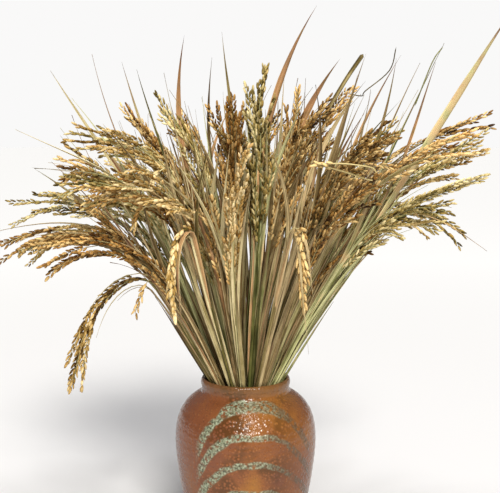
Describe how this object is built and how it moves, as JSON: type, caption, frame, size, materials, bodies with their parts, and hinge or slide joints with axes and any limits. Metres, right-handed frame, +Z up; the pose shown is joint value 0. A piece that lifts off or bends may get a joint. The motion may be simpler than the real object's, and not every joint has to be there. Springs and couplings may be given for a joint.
{
  "type": "dried rice ears in a vase",
  "caption": "Bunch of dried rice stems with drooping, branched ears of grain and long leaves, standing in a round stoneware vase with brushed arcs.",
  "frame": {"origin": "middle of the vase's flat foot, on the surface that it stands on", "axes": "+Z up along the vase's axis, +X to the viewer's right, -Y towards the viewer"},
  "size_m": [0.5144, 0.3861, 0.575],
  "materials": {
    "stoneware": "satin",
    "straw_golden": "matte",
    "straw_greenish": "matte",
    "straw_brown": "matte"
  },
  "bodies": {
    "root": {"vase": "stoneware", "rice_centre_01": "straw_greenish", "rice_inner_01": "straw_brown", "rice_inner_02": "straw_brown", "rice_inner_03": "straw_greenish", "rice_inner_04": "straw_golden", "rice_inner_05": "straw_brown", "rice_middle_01": "straw_golden", "rice_middle_02": "straw_brown", "rice_middle_03": "straw_brown", "rice_middle_04": "straw_greenish", "rice_middle_05": "straw_golden", "rice_middle_06": "straw_brown", "rice_middle_07": "straw_brown", "rice_middle_08": "straw_brown", "rice_middle_09": "straw_greenish", "rice_middle_10": "straw_brown", "rice_outer_01": "straw_golden", "rice_outer_02": "straw_golden", "rice_outer_03": "straw_brown", "rice_outer_04": "straw_golden", "rice_outer_05": "straw_greenish", "rice_outer_06": "straw_brown", "rice_outer_07": "straw_golden", "rice_outer_08": "straw_greenish", "rice_outer_09": "straw_brown", "rice_outer_10": "straw_golden", "rice_outer_11": "straw_greenish", "rice_outer_12": "straw_brown", "rice_outer_13": "straw_brown", "rice_outer_14": "straw_greenish", "rice_outer_15": "straw_brown", "rice_rim_01": "straw_greenish", "rice_rim_02": "straw_greenish", "rice_rim_03": "straw_brown", "rice_rim_04": "straw_golden", "rice_rim_05": "straw_brown", "rice_rim_06": "straw_golden", "rice_rim_07": "straw_golden", "rice_rim_08": "straw_brown", "rice_rim_09": "straw_brown", "rice_rim_10": "straw_greenish", "rice_rim_11": "straw_greenish", "rice_rim_12": "straw_greenish", "rice_rim_13": "straw_golden", "rice_rim_14": "straw_golden", "rice_rim_15": "straw_brown", "rice_rim_16": "straw_golden", "rice_rim_17": "straw_golden", "rice_rim_18": "straw_brown", "rice_rim_19": "straw_greenish", "rice_late_01": "straw_brown", "rice_late_02": "straw_brown", "rice_late_03": "straw_brown", "rice_late_04": "straw_greenish", "rice_late_05": "straw_brown", "rice_young_01": "straw_greenish", "rice_young_02": "straw_brown", "rice_young_03": "straw_greenish", "rice_young_04": "straw_golden"}
  },
  "joints": []
}
